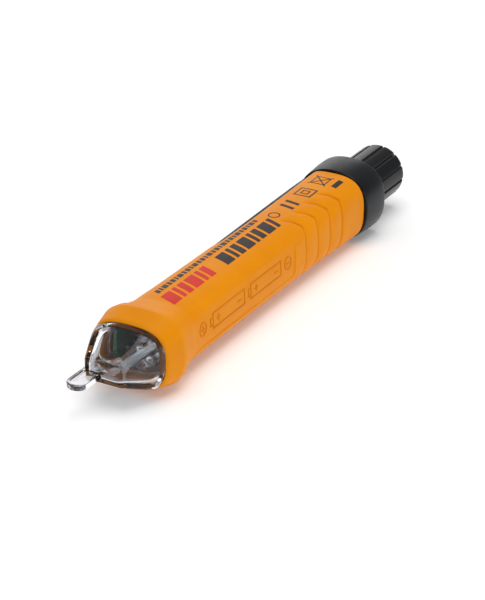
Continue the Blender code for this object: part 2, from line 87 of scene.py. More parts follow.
def mesh_object(name, points, faces, smooth_angle=SHARP_ANGLE):
    """A welded, smooth-shaded object; edges sharper than smooth_angle degrees stay sharp."""
    mesh = bpy.data.meshes.new(name)
    mesh.from_pydata(place(points).tolist(), [], [tuple(face) for face in faces])
    bm = bmesh.new()
    bm.from_mesh(mesh)
    bmesh.ops.remove_doubles(bm, verts=bm.verts, dist=1e-7)
    bmesh.ops.recalc_face_normals(bm, faces=bm.faces)
    bm.to_mesh(mesh)
    bm.free()
    mesh.shade_smooth()
    mesh.set_sharp_from_angle(angle=math.radians(smooth_angle))
    piece = bpy.data.objects.new(name, mesh)
    bpy.context.scene.collection.objects.link(piece)
    return piece


def loft_faces(rows, columns, hollow, start=0):
    """Quads between rings of points, with flat ends unless the last ring joins the first."""
    index = start + np.arange(rows * columns).reshape(rows, columns)
    ring_pairs = [(r, r + 1) for r in range(rows - 1)]
    if hollow:
        ring_pairs.append((rows - 1, 0))
    faces = []
    for low, high in ring_pairs:
        a, b = index[low], index[high]
        faces += np.stack([a, np.roll(a, -1), np.roll(b, -1), b], axis=1).tolist()
    if not hollow:
        faces.append(index[0].tolist())
        faces.append(index[-1][::-1].tolist())
    return faces


def loft(name, rings, hollow=False, smooth_angle=SHARP_ANGLE):
    """One piece from a stack of rings; a hollow one joins its last ring to its first."""
    rings = np.asarray(rings, float)
    rows, columns = rings.shape[:2]
    faces = loft_faces(rows, columns, hollow)
    return mesh_object(name, rings.reshape(-1, 3), faces, smooth_angle)


def joined(name, parts, smooth_angle=SHARP_ANGLE):
    """One piece from several closed shells, each a stack of rings and its hollow flag."""
    points, faces, start = [], [], 0
    for rings, hollow in parts:
        rings = np.asarray(rings, float)
        rows, columns = rings.shape[:2]
        points.append(rings.reshape(-1, 3))
        faces += loft_faces(rows, columns, hollow, start)
        start += rows * columns
    return mesh_object(name, np.concatenate(points), faces, smooth_angle)


def finish_piece(piece, material, body, slot, *nodes):
    """Gives a piece its material and body, and hides the CAD nodes it stands for; slot is not used."""
    piece.data.materials.clear()
    piece.data.materials.append(material)
    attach(piece, body)
    if nodes:
        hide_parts(*nodes)
    return piece


def apply_modifiers(piece):
    graph = bpy.context.evaluated_depsgraph_get()
    mesh = bpy.data.meshes.new_from_object(piece.evaluated_get(graph))
    piece.modifiers.clear()
    piece.data = mesh
    return piece


def cut_with(piece, cutter, operation="DIFFERENCE"):
    """Applies an exact Boolean and removes the cutter."""
    modifier = piece.modifiers.new("cut", "BOOLEAN")
    modifier.operation = operation
    modifier.solver = "EXACT"
    modifier.object = cutter
    bpy.context.view_layer.update()
    apply_modifiers(piece)
    bpy.data.objects.remove(cutter)
    piece.data.shade_smooth()
    piece.data.set_sharp_from_angle(angle=math.radians(SHARP_ANGLE))
    return piece


def smoothstep(value, start, end):
    t = np.clip((np.asarray(value, float) - start) / (end - start), 0, 1)
    return t * t * (3 - 2 * t)


def arc(count, start=0.0, end=math.pi / 2):
    return np.linspace(start, end, count)


def grown(half, by):
    """A half width and half height, both larger by this much."""
    return half[0] + by, half[1] + by


def ring_angles(columns, squareness):
    """Angles that spread a rounded square's points evenly along its outline."""
    dense = np.linspace(0, 2 * math.pi, 4001)
    points = rounded_square(dense, (1.0, 1.0), squareness)
    steps = np.hypot(*np.diff(points, axis=0).T)
    travelled = np.concatenate([[0], np.cumsum(steps)])
    wanted = (np.arange(columns) + 0.5) / columns * travelled[-1]
    return np.interp(wanted, travelled, dense)


def rounded_square(angles, half, squareness):
    c, d = np.cos(angles), np.sin(angles)
    y = half[0] * np.sign(c) * np.abs(c) ** (2 / squareness)
    z = half[1] * np.sign(d) * np.abs(d) ** (2 / squareness)
    return np.stack([y, z], axis=-1)


def square_ring(s, half, squareness, angles, z=0.0):
    flat = rounded_square(angles, half, squareness) + np.array([0.0, z])
    flat[:, 1] = np.maximum(flat[:, 1], FLOOR_Z)
    return np.column_stack([np.full(len(angles), s), flat])


def circle_ring(s, radius, count=64, y=0.0, z=0.0):
    angles = (np.arange(count) + 0.5) / count * 2 * math.pi
    radius = np.broadcast_to(radius, angles.shape)
    return np.column_stack(
        [np.full(count, s), y + radius * np.cos(angles), z + radius * np.sin(angles)]
    )


def turned(profile, count=64, y=0.0, z=0.0):
    return [circle_ring(s, radius, count, y, z) for s, radius in profile]


def stadium_ring(y, s, half, z=0.0, count=64, roundness=1.0):
    """A rounded outline that faces +Y round (s, z)."""
    radius = min(half) * roundness
    angles = (np.arange(count) + 0.5) / count * 2 * math.pi
    c, d = np.cos(angles), np.sin(angles)
    x = s + np.sign(c) * (half[0] - radius) + radius * c
    up = z + np.sign(d) * (half[1] - radius) + radius * d
    return np.column_stack([x, np.full(count, y), up])


def tube_rings(points, radius, around=12):
    """Rings of a wire through the points, each square to the wire there."""
    path = np.asarray(points, float)
    ahead = np.vstack([path[1:], path[-1:]])
    behind = np.vstack([path[:1], path[:-1]])
    tangents = ahead - behind
    tangents /= np.linalg.norm(tangents, axis=1)[:, None]
    guess = np.array([0, 0, 1.0]) if abs(tangents[0][2]) < 0.9 else np.array([0, 1.0, 0])
    side = np.cross(tangents[0], guess)
    angles = np.arange(around) / around * 2 * math.pi
    rings = []
    for here, tangent in zip(path, tangents):
        side = side - tangent * (side @ tangent)
        side /= np.linalg.norm(side)
        up = np.cross(tangent, side)
        around_wire = np.outer(np.cos(angles), side) + np.outer(np.sin(angles), up)
        rings.append(here + radius * around_wire)
    return rings


# ---------- materials


class Look:
    """A node material under construction, with short calls for what the looks below repeat."""

    def __init__(self, name):
        self.material = bpy.data.materials.new(name)
        self.material.use_nodes = True
        self.tree = self.material.node_tree
        self.shader = self.tree.nodes["Principled BSDF"]
        coordinates = self.tree.nodes.new("ShaderNodeTexCoord")
        self.place = coordinates.outputs["Object"]

    def set(self, **values):
        names = {
            "color": "Base Color",
            "rough": "Roughness",
            "metal": "Metallic",
            "ior": "IOR",
            "transmission": "Transmission Weight",
            "coat": "Coat Weight",
            "coat_rough": "Coat Roughness",
            "specular": "Specular IOR Level",
            "mirror_tint": "Specular Tint",
            "subsurface": "Subsurface Weight",
        }
        for key, value in values.items():
            setting = (*value, 1.0) if isinstance(value, tuple) else value
            self.shader.inputs[names[key]].default_value = setting
        return self

    def link(self, output, socket):
        self.tree.links.new(output, socket)

    def noise(self, per_mm, detail=3.0, rough=0.55, stretch=(1, 1, 1)):
        mapping = self.tree.nodes.new("ShaderNodeMapping")
        mapping.inputs["Scale"].default_value = stretch
        self.link(self.place, mapping.inputs["Vector"])
        node = self.tree.nodes.new("ShaderNodeTexNoise")
        node.inputs["Scale"].default_value = per_mm / MM
        node.inputs["Detail"].default_value = detail
        node.inputs["Roughness"].default_value = rough
        self.link(mapping.outputs["Vector"], node.inputs["Vector"])
        return node.outputs["Fac"]

    def band(self, value, low, high, start=0.3, end=0.7):
        """The value, from start to end, spread over low to high."""
        node = self.tree.nodes.new("ShaderNodeMapRange")
        node.inputs["From Min"].default_value = start
        node.inputs["From Max"].default_value = end
        node.inputs["To Min"].default_value = low
        node.inputs["To Max"].default_value = high
        self.link(value, node.inputs["Value"])
        return node.outputs["Result"]

    def mix(self, factor, first, second):
        node = self.tree.nodes.new("ShaderNodeMix")
        node.data_type = "RGBA"
        for socket, color in ((node.inputs["A"], first), (node.inputs["B"], second)):
            if isinstance(color, bpy.types.NodeSocket):
                self.link(color, socket)
            else:
                socket.default_value = (*color, 1.0)
        self.link(factor, node.inputs["Factor"])
        return node.outputs["Result"]

    def color(self, output):
        self.link(output, self.shader.inputs["Base Color"])
        return self

    def rough(self, output):
        self.link(output, self.shader.inputs["Roughness"])
        return self

    def bump(self, height, depth_mm, strength=1.0):
        node = self.tree.nodes.new("ShaderNodeBump")
        node.inputs["Strength"].default_value = strength
        node.inputs["Distance"].default_value = depth_mm * MM
        self.link(height, node.inputs["Height"])
        if self.shader.inputs["Normal"].is_linked:
            self.link(self.shader.inputs["Normal"].links[0].from_socket, node.inputs["Normal"])
        self.link(node.outputs["Normal"], self.shader.inputs["Normal"])
        return self


def moulded(name, dark, light, rough, grain_mm, grain_per_mm, **extra):
    """Moulded plastic or rubber: slow colour drift, a fine tool grain and uneven gloss."""
    look = Look(name).set(**extra)
    look.color(look.mix(look.band(look.noise(0.08, 4), 0, 1), dark, light))
    look.rough(look.band(look.noise(0.6, 4), rough[0], rough[1]))
    look.bump(look.noise(grain_per_mm, 2), grain_mm, 0.5)
    look.bump(look.noise(0.12, 2), 0.05, 0.25)
    return look.material


CLEAR_MIRROR_TINT = (0.45, 0.45, 0.47)


def clear(name, tint, rough=0.02, ior=1.5, wave_mm=0.03):
    """Clear moulded plastic with faint flow waves in its surface."""
    look = Look(name).set(color=tint, transmission=1.0, ior=ior, rough=rough)
    look.set(mirror_tint=CLEAR_MIRROR_TINT)
    look.bump(look.noise(0.25, 2, stretch=(0.4, 1, 1)), wave_mm, 0.5)
    let_light_through(look)
    return look.material


def let_light_through(look, share=0.6):
    """Light reaches what is inside: shadow rays see mostly through the surface."""
    nodes = look.tree.nodes
    output = nodes["Material Output"]
    path = nodes.new("ShaderNodeLightPath")
    amount = nodes.new("ShaderNodeMath")
    amount.operation = "MULTIPLY"
    amount.inputs[1].default_value = share
    look.link(path.outputs["Is Shadow Ray"], amount.inputs[0])
    see_through = nodes.new("ShaderNodeBsdfTransparent")
    mixer = nodes.new("ShaderNodeMixShader")
    look.link(amount.outputs["Value"], mixer.inputs["Fac"])
    look.link(look.shader.outputs["BSDF"], mixer.inputs[1])
    look.link(see_through.outputs["BSDF"], mixer.inputs[2])
    look.link(mixer.outputs["Shader"], output.inputs["Surface"])


def metal(name, dark, light, rough, stretch=(1, 1, 1)):
    look = Look(name).set(metal=1.0)
    look.color(look.mix(look.band(look.noise(0.5, 4), 0, 1), dark, light))
    look.rough(look.band(look.noise(1.5, 4, stretch=stretch), rough[0], rough[1]))
    look.bump(look.noise(3.0, 2, stretch=stretch), 0.01, 0.4)
    return look.material


def milky(name, dark, light, weight=0.6):
    look = Look(name).set(rough=0.18, transmission=weight, ior=1.45, subsurface=0.3)
    look.color(look.mix(look.band(look.noise(0.4, 3), 0, 1), dark, light))
    look.bump(look.noise(1.2, 2), 0.02, 0.4)
    return look.material


def board_material():
    """Green solder mask with faint copper tracks under it."""
    look = Look("green_solder_mask").set(specular=0.5, coat=0.3, coat_rough=0.15)
    base = look.mix(look.band(look.noise(0.3, 3), 0, 1), (0.004, 0.11, 0.06), (0.01, 0.16, 0.09))
    wave = look.tree.nodes.new("ShaderNodeTexWave")
    wave.wave_type = "BANDS"
    wave.bands_direction = "Z"
    wave.inputs["Scale"].default_value = 0.22 / MM
    wave.inputs["Distortion"].default_value = 3.0
    wave.inputs["Detail"].default_value = 1.0
    look.link(look.place, wave.inputs["Vector"])
    tracks = look.band(wave.outputs["Fac"], 0.0, 0.5, 0.8, 0.9)
    look.color(look.mix(tracks, base, (0.03, 0.22, 0.12)))
    look.rough(look.band(look.noise(1.0, 3), 0.3, 0.45))
    look.bump(wave.outputs["Fac"], 0.01, 0.3)
    return look.material


def cell_material():
    """A cell's printed jacket: dark, half metallic and slightly uneven."""
    look = Look("cell_jacket").set(metal=0.6)
    drift = look.band(look.noise(0.1, 2), 0, 1)
    look.color(look.mix(drift, (0.03, 0.035, 0.05), (0.05, 0.06, 0.08)))
    look.rough(look.band(look.noise(0.8, 3), 0.28, 0.4))
    look.bump(look.noise(1.0, 2), 0.01, 0.3)
    return look.material


# key: material name, darker colour, lighter colour, roughness range, grain depth in mm, grains
# per mm, specular level (None keeps the shader's own)
MOULDED_LOOKS = {
    "orange": ("orange_plastic", (0.74, 0.24, 0.001), (0.79, 0.272, 0.002), (0.4, 0.48), 0.012, 4.0, 0.08),
    # a darker copy of the casing's orange for the raised marks: painted shade along the lines
    "orange_painted_shade": ("orange_marks", (0.6, 0.175, 0.001), (0.66, 0.2, 0.002), (0.4, 0.48), 0.012, 4.0, 0.08),
    "red_ink": ("red_ink", (0.6, 0.024, 0.014), (0.68, 0.034, 0.022), (0.4, 0.5), 0.004, 4.0, 0.12),
    "dark_ink": ("dark_ink", (0.022, 0.014, 0.014), (0.035, 0.022, 0.02), (0.4, 0.5), 0.004, 4.0, 0.15),
    "black": ("black_plastic", (0.004, 0.0045, 0.006), (0.007, 0.008, 0.01), (0.3, 0.38), 0.015, 4.0, 0.2),
    "cap_black": ("cap_black", (0.003, 0.0035, 0.004), (0.006, 0.0065, 0.008), (0.22, 0.28), 0.002, 4.0, 0.15),
    "bezel": ("soft_black", (0.014, 0.014, 0.015), (0.022, 0.022, 0.023), (0.5, 0.62), 0.02, 5.0, None),
    "power": ("red_rubber", (0.42, 0.016, 0.012), (0.52, 0.026, 0.02), (0.45, 0.58), 0.02, 5.0, None),
    "torch": ("grey_rubber", (0.13, 0.135, 0.14), (0.17, 0.175, 0.18), (0.45, 0.58), 0.02, 5.0, None),
    "legend": ("white_legend", (0.62, 0.62, 0.6), (0.7, 0.7, 0.68), (0.5, 0.6), 0.006, 4.0, None),
    "sleeve": ("grey_sleeve", (0.09, 0.09, 0.1), (0.13, 0.13, 0.14), (0.45, 0.6), 0.012, 4.0, None),
    "resin": ("dark_resin", (0.014, 0.014, 0.015), (0.024, 0.024, 0.025), (0.4, 0.55), 0.01, 6.0, None),
}


def make_materials():
    looks = {}
    for key, (*settings, specular) in MOULDED_LOOKS.items():
        extra = {} if specular is None else {"specular": specular}
        looks[key] = moulded(*settings, **extra)
    looks["clear"] = clear("clear_tip", (0.8, 0.815, 0.85))
    looks["led"] = clear("clear_resin", (0.97, 0.98, 1.0), 0.01, 1.53, 0.01)
    looks["holder"] = milky("milky_holder", (0.78, 0.8, 0.82), (0.9, 0.91, 0.92), 0.75)
    looks["bulb"] = milky("milky_bulb", (0.8, 0.6, 0.5), (0.9, 0.72, 0.62), 0.7)
    looks["board"] = board_material()
    looks["cell"] = cell_material()
    looks["plated"] = metal("plated_steel", (0.6, 0.6, 0.6), (0.78, 0.78, 0.77), (0.15, 0.3))
    looks["die"] = metal("reflector_cup", (0.8, 0.8, 0.78), (0.92, 0.92, 0.9), (0.1, 0.2))
    return looks


# ---------- casing

SQUARENESS = 2.84
RIM_S = 22.1
HEAD_END_S = 31.3
BODY_END_S = 138.9
CASING_PROFILE = np.array(
    [
        (22.1, 11.35, 9.05),
        (22.9, 11.75, 9.5),
        (28.7, 12.95, 10.88),
        (31.3, 12.6, 10.5),
        (35.5, 11.65, 9.75),
        (39.2, 10.95, 9.15),
        (60.0, 10.35, 9.3),
        (94.0, 10.1, 9.6),
        (120.0, 10.4, 10.0),
        (138.9, 10.7, 10.4),
    ]
)
HEAD_STEP = 0.45
STEP_LENGTH = 0.5
STEP_FADE_END_S = 42.0
FRONT_EDGE = 0.25
FRONT_EDGE_LENGTH = 0.5
CASING_WALL = 1.8
CORE_HALF = (9.2, 8.4)
MOUTH_END_S = 26.2
MOUTH_HALF = (10.1, 7.8)
RIM_MOUTH_HALF = (11.05, 8.75)

PANEL_S = (36.0, 96.5)
PANEL_Z = (-4.7, 6.4)
PANEL_DEPTH = 0.35
PANEL_EDGE = 0.25
PANEL_CORNER = 1.5

GROOVES_S = (103.3, 110.8, 118.3, 125.6)
GROOVE_DEPTH = 0.6
NOTCH_DEPTH = 0.45
NOTCH_HALF_WIDTH = 0.22
DIMPLE_DEPTH = 0.3
PAD_ROUNDNESS = 0.45
GRIP_END_SOFTNESS = 0.55
CLIP_RECESS = 0.5


def monotone(s, column):
    """Smooth interpolation of the casing's profile that never overshoots its points."""
    x, v = CASING_PROFILE[:, 0], CASING_PROFILE[:, column]
    h, d = np.diff(x), np.diff(v) / np.diff(x)
    m = np.zeros(len(x))
    same = d[:-1] * d[1:] > 0
    w1, w2 = 2 * h[1:] + h[:-1], h[1:] + 2 * h[:-1]
    inner = np.zeros(len(d) - 1)
    inner[same] = (w1 + w2)[same] / (w1[same] / d[:-1][same] + w2[same] / d[1:][same])
    m[1:-1] = inner
    m[0], m[-1] = d[0], d[-1]
    s = np.clip(s, x[0], x[-1])
    i = np.clip(np.searchsorted(x, s) - 1, 0, len(h) - 1)
    t = (s - x[i]) / h[i]
    return (
        (1 + 2 * t) * (1 - t) ** 2 * v[i]
        + t * (1 - t) ** 2 * h[i] * m[i]
        + t * t * (3 - 2 * t) * v[i + 1]
        + t * t * (t - 1) * h[i] * m[i + 1]
    )


def planar(s, column):
    """The same profile as flat bevels with softened creases between them."""
    places, sizes = CASING_PROFILE[:, 0], CASING_PROFILE[:, column]
    steps = (-0.36, -0.18, 0.0, 0.18, 0.36)
    return np.mean([np.interp(s + d, places, sizes) for d in steps], axis=0)


def casing_size(s, column):
    """Flat bevels round the head and smooth curves behind it."""
    body = smoothstep(s, HEAD_END_S - 1.0, HEAD_END_S + 1.5)
    return planar(s, column) * (1 - body) + monotone(s, column) * body


def casing_half(s):
    """Half width and half height at s, with the front edge and the step behind the head."""
    step_end = HEAD_END_S + STEP_LENGTH
    step = HEAD_STEP * smoothstep(s, HEAD_END_S, step_end)
    fade = step * (1 - smoothstep(s, step_end, STEP_FADE_END_S))
    edge = FRONT_EDGE * (1 - np.sqrt(np.clip((s - RIM_S) / FRONT_EDGE_LENGTH, 0, 1)))
    return casing_size(s, 1) - fade - edge, casing_size(s, 2) - fade - edge


def crease_shift(turn):
    """How far a finger crease leans along the pen, by its place round the section in degrees."""
    return np.interp(turn, (-90, -60, 22, 45, 64, 78), (0.8, 0.0, 0.0, 1.7, -0.4, -2.9))


def grip_depth(s, turn):
    """The finger grip on the -Y side and its upper corner: creases with rounded pads between."""
    first, last = GROOVES_S[0], GROOVES_S[-1]
    pitch = (last - first) / (len(GROOVES_S) - 1)
    u = s - crease_shift(turn) - first
    pads = 1 - np.abs(np.sin(math.pi * u / pitch)) ** PAD_ROUNDNESS
    before = np.exp(-np.clip(-u, 0, None) / GRIP_END_SOFTNESS)
    after = np.exp(-np.clip(u - (last - first), 0, None) / GRIP_END_SOFTNESS)
    shape = np.where(u < 0, before, np.where(u > last - first, after, pads))
    around = smoothstep(turn, -88, -62) * (1 - smoothstep(turn, 66, 80))
    along_grip = smoothstep(s, 99, 103) * (1 - smoothstep(s, 126, 131))
    dimple = np.exp(-(((turn - 47) / 17) ** 2)) * along_grip
    to_crease = np.abs(u - pitch * np.clip(np.round(u / pitch), 0, len(GROOVES_S) - 1))
    notch = NOTCH_DEPTH * np.exp(-((to_crease / NOTCH_HALF_WIDTH) ** 2))
    return around * (GROOVE_DEPTH * shape + notch) + DIMPLE_DEPTH * dimple


def panel_depth(s, y, z):
    """The panel with the battery marks: crisp below and behind, fading above and in front."""
    front, rear = PANEL_S
    low, high = PANEL_Z
    edge = PANEL_EDGE
    ends = smoothstep(s, front, front + 7) * (1 - smoothstep(s, rear - edge, rear + edge))
    sides = smoothstep(z, low - edge, low + edge) * (1 - smoothstep(z, 3.4, high))
    past_rear = np.clip(s - (rear - PANEL_CORNER), 0, None)
    past_low = np.clip(low + PANEL_CORNER - z, 0, None)
    corner = np.hypot(past_rear, past_low)
    rounding = 1 - smoothstep(corner, PANEL_CORNER - edge, PANEL_CORNER + edge)
    return np.where(y < 0, PANEL_DEPTH * ends * sides * rounding, 0.0)


def clip_recess(s, turn):
    """The +Y side lies a little lower behind the clip."""
    around = smoothstep(np.abs(turn), 118, 134)
    return CLIP_RECESS * around * smoothstep(s, 78, 84)


def casing_point(s, angles, lift=0.0):
    """Points (s, y, z) of the casing's outside at one station, raised by lift mm."""
    a, b = casing_half(s)
    flat = rounded_square(angles, (a, b), SQUARENESS)
    y, z = flat[:, 0], flat[:, 1]
    normal = np.stack(
        [
            np.sign(y) * np.abs(y / a) ** (SQUARENESS - 1) / a,
            np.sign(z) * np.abs(z / b) ** (SQUARENESS - 1) / b,
        ],
        axis=1,
    )
    normal /= np.linalg.norm(normal, axis=1)[:, None]
    turn = np.degrees(np.arctan2(z / b, -y / a))
    depth = grip_depth(s, turn) + panel_depth(s, y, z) + clip_recess(s, turn)
    flat = flat + normal * (lift - depth)[:, None]
    flat[:, 1] = np.maximum(flat[:, 1], FLOOR_Z)
    return np.column_stack([np.full(len(angles), s), flat])


def casing_stations():
    """Rows along the casing: close together where its shape changes fast."""
    rows = np.concatenate(
        [
            RIM_S + 0.5 * arc(7, 0, 1) ** 2,
            np.arange(22.9, HEAD_END_S, 0.3 * FINE),
            np.linspace(HEAD_END_S, HEAD_END_S + 0.5, 6),
            np.arange(32.2, 95.5, 0.9 * FINE),
            np.arange(95.5, 99.0, 0.12 * FINE),
            np.arange(99.0, 131.0, 0.16),
            np.arange(131.0, BODY_END_S - 0.3, 0.9 * FINE),
            BODY_END_S - 0.3 * arc(4, 0, 1)[::-1],
        ]
    )
    return np.unique(np.round(rows, 4))


def make_casing(looks):
    """The casing: its outside, then its inside from the tail to the mouth, and the key window."""
    columns = 240 // min(FINE, 2)
    angles = ring_angles(columns, SQUARENESS)
    rings = [casing_point(s, angles) for s in casing_stations()]
    for s in (BODY_END_S, 100.0, 62.0, 39.2, MOUTH_END_S + 3.0):
        a, b = casing_half(s)
        inside = (min(a - CASING_WALL, CORE_HALF[0]), min(b - CASING_WALL, CORE_HALF[1]))
        rings.append(square_ring(s, inside, SQUARENESS, angles))
    for s, half in (
        (MOUTH_END_S, (CORE_HALF[0], CORE_HALF[1] - 1.0)),
        (MOUTH_END_S, MOUTH_HALF),
        (RIM_S + 1.6, MOUTH_HALF),
        (RIM_S + 0.15, RIM_MOUTH_HALF),
        (RIM_S, grown(RIM_MOUTH_HALF, 0.1)),
    ):
        rings.append(square_ring(s, half, SQUARENESS, angles))
    piece = loft("main_casing_skin", rings, hollow=True)
    window_half = grown(BEZEL_HALF, BEZEL_GAP)
    cut_with(piece, loft("window", [stadium_ring(y, BEZEL_S, window_half) for y in CUTTER_Y]))
    finish_piece(piece, looks["orange"], "tester_body", "casing_orange", "main_casing")


# ---------- prints and raised marks


def top_height(s, y):
    """The height of the casing's printed face at (s, y)."""
    a, b = casing_half(s)
    return b * (1 - np.abs(y / a) ** SQUARENESS) ** (1 / SQUARENESS)


def side_reach(s, z):
    """How far the panel's face is from the axis, towards -Y, at (s, z)."""
    a, b = casing_half(s)
    y = -a * (1 - np.abs(z / b) ** SQUARENESS) ** (1 / SQUARENESS)
    return -y - panel_depth(s, y, z)


def print_quad(corners, length_steps=6, width_steps=4):
    """A closed wafer of ink on the printed face between four (s, y) corners, in order round it."""
    p = np.asarray(corners, float)
    u = np.linspace(0, 1, length_steps)[:, None, None]
    v = np.linspace(0, 1, width_steps)[None, :, None]
    grid = (1 - v) * ((1 - u) * p[0] + u * p[1]) + v * ((1 - u) * p[3] + u * p[2])
    return grid.reshape(-1, 2), (length_steps, width_steps)


INK_UP, INK_DOWN = 0.045, -0.1


def ink_mesh(name, quads, heights, up=INK_UP, down=INK_DOWN, flip=False):
    """One piece made of wafers on the surface that heights gives; flip puts them on the -Y face."""
    points, faces, start = [], [], 0
    for flat, (rows, columns) in quads:
        s, w = flat[:, 0], flat[:, 1]
        reach = heights(s, w)
        for lift in (up, down):
            out = reach + lift
            points.append(np.column_stack([s, -out, w] if flip else [s, w, out]))
        index = np.arange(rows * columns).reshape(rows, columns)
        top, low = start + index, start + index + rows * columns
        for sheet in (top, low):
            corners = [sheet[:-1, :-1], sheet[1:, :-1], sheet[1:, 1:], sheet[:-1, 1:]]
            faces += np.stack(corners, axis=-1).reshape(-1, 4).tolist()
        for edge in (np.s_[0, :], np.s_[-1, :], np.s_[:, 0], np.s_[:, -1]):
            a, b = top[edge], low[edge]
            faces += np.stack([a[:-1], a[1:], b[1:], b[:-1]], axis=1).tolist()
        start += 2 * rows * columns
    return mesh_object(name, np.concatenate(points), faces, 30)


def slanted(s0, s1, y0, y1, slant=0.35):
    """A block of print from s0 to s1 and y0 to y1, leaning along the pen."""
    lean = (y1 - y0) * slant
    return print_quad([(s0, y0), (s1, y0), (s1 + lean, y1), (s0 + lean, y1)])


def stroke_line(points, width):
    """Quads that follow a line of (s, w) points with mitred joints; closed if the ends meet."""
    p = np.asarray(points, float)
    closed = np.allclose(p[0], p[-1])
    if closed:
        p = p[:-1]
    ahead, behind = np.roll(p, -1, 0), np.roll(p, 1, 0)
    if not closed:
        ahead[-1], behind[0] = p[-1], p[0]
    t1 = p - behind
    t2 = ahead - p
    if not closed:
        t1[0], t2[-1] = t2[0], t1[-1]
    n1 = np.column_stack([-t1[:, 1], t1[:, 0]]) / np.linalg.norm(t1, axis=1)[:, None]
    n2 = np.column_stack([-t2[:, 1], t2[:, 0]]) / np.linalg.norm(t2, axis=1)[:, None]
    mitre = (n1 + n2) / (1 + np.sum(n1 * n2, axis=1))[:, None]
    left, right = p + mitre * width / 2, p - mitre * width / 2
    count = len(p) if closed else len(p) - 1
    quads = []
    for i in range(count):
        j = (i + 1) % len(p)
        quads.append(print_quad([left[i], left[j], right[j], right[i]], 5, 2))
    return quads


def rectangle(s0, s1, w0, w1):
    return [(s0, w0), (s1, w0), (s1, w1), (s0, w1), (s0, w0)]


def ring_line(s, w, radius, count=28):
    angles = np.linspace(0, 2 * math.pi, count + 1)
    points = np.column_stack([s + radius * np.cos(angles), w + radius * np.sin(angles)])
    points[-1] = points[0]
    return points


def stripe_run(start, end, y0, y1, widths, gap):
    """Slanted stripes of repeating widths between start and end."""
    quads, s, i = [], start, 0
    while s + widths[i % len(widths)] <= end:
        quads.append(slanted(s, s + widths[i % len(widths)], y0, y1))
        s += widths[i % len(widths)] + gap
        i += 1
    return quads


STRIPE_ROW, STRIPE_WIDTHS, STRIPE_GAP = (-4.0, 1.4), (4.4, 1.6, 2.6), 1.1
DASH_ROW, DASH_WIDTHS, DASH_GAP = (3.0, 4.9), (1.5, 0.8, 2.0, 1.1), 0.65


def make_prints(looks):
    """Plain stripes, squares and bars in place of the lettering and signs on the printed face."""
    red = stripe_run(38.5, 66.0, *STRIPE_ROW, STRIPE_WIDTHS, STRIPE_GAP)
    piece = ink_mesh("red_stripes", red, top_height)
    finish_piece(piece, looks["red_ink"], "tester_body", "casing_orange")
    dark = stripe_run(67.5, 99.0, *STRIPE_ROW, STRIPE_WIDTHS, STRIPE_GAP)
    dark += stripe_run(42.0, 99.5, *DASH_ROW, DASH_WIDTHS, DASH_GAP)
    dark += stroke_line(ring_line(103.2, 0.9, 1.65), 0.4)
    dark += [slanted(109.3, 110.6, -1.9, 3.0, 0.2), slanted(112.6, 113.9, -1.9, 3.0, 0.2)]
    dark += stroke_line(rectangle(119.6, 124.8, -1.9, 3.2), 0.45)
    dark += stroke_line(rectangle(121.1, 123.3, -0.4, 1.7), 0.4)
    dark += stroke_line(rectangle(129.6, 134.6, -1.6, 3.0), 0.35)
    dark += stroke_line([(128.9, -2.2), (135.3, 3.6)], 0.4)
    dark += stroke_line([(128.9, 3.6), (135.3, -2.2)], 0.4)
    dark += [print_quad([(130.2, -5.3), (135.4, -5.3), (135.4, -3.7), (130.2, -3.7)])]
    piece = ink_mesh("dark_stripes", dark, top_height)
    finish_piece(piece, looks["dark_ink"], "tester_body", "casing_orange")


MARK_WIDTH = 0.34
MARK_UP, MARK_DOWN = 0.14, -0.2
MARK_BEVEL = 0.05
MARK_MIDDLE_Z = 1.3
CELL_MARKS_S, CELL_MARK_LENGTH, CELL_MARK_HALF, NUB_HALF = (48.7, 70.2), 17.8, 2.2, 1.1


def make_polarity_marks(looks):
    """Raised outlines of two cells in line with their poles, on the recessed panel."""
    middle = MARK_MIDDLE_Z
    low, high = middle - NUB_HALF, middle + NUB_HALF
    drawn = []
    for start in CELL_MARKS_S:
        box_low, box_high = middle - CELL_MARK_HALF, middle + CELL_MARK_HALF
        drawn.append(rectangle(start, start + CELL_MARK_LENGTH, box_low, box_high))
        drawn.append([(start, high), (start - 1.5, high), (start - 1.5, low), (start, low)])
        drawn.append([(start + 2.0, middle), (start + 4.2, middle)])
        drawn.append([(start + 3.1, low), (start + 3.1, high)])
        drawn.append([(start + 13.8, middle), (start + 16.0, middle)])
    for s, cross in ((42.8, True), (92.2, False)):
        drawn.append(ring_line(s, middle, 1.9, 24))
        drawn.append([(s - 1.0, middle), (s + 1.0, middle)])
        if cross:
            drawn.append([(s, middle - 1.0), (s, middle + 1.0)])
    lines = [quad for line in drawn for quad in stroke_line(line, MARK_WIDTH)]
    piece = ink_mesh("polarity_marks", lines, side_reach, MARK_UP, MARK_DOWN, flip=True)
    bevel = piece.modifiers.new("soft_edges", "BEVEL")
    bevel.width = MARK_BEVEL * MM
    bevel.segments = 2
    bevel.limit_method = "ANGLE"
    # The marks get the darker orange copy of the casing plastic: painted shade along the raised lines.
    finish_piece(piece, looks["orange_painted_shade"], "tester_body", "casing_orange")


# ---------- clear tip

FACE_S = 9.3
FACE_HALF = (5.8, 3.2)
FACE_Z = 0.45
FACE_SQUARENESS = 12.0
INNER_CORNER = 0.4
LENS_WALL = 1.3
LENS_EDGE = 0.4
SPIGOT_GAP = 0.3
SPIGOT_END_S = 25.9
LENS_RIM_HALF = (10.9, 8.6)
TONGUE_Y, TONGUE_Z = 3.7, -0.75
TONGUE_HALF_WIDTH, TONGUE_THICKNESS = 3.0, 1.7
BLADE_EDGE = 0.35


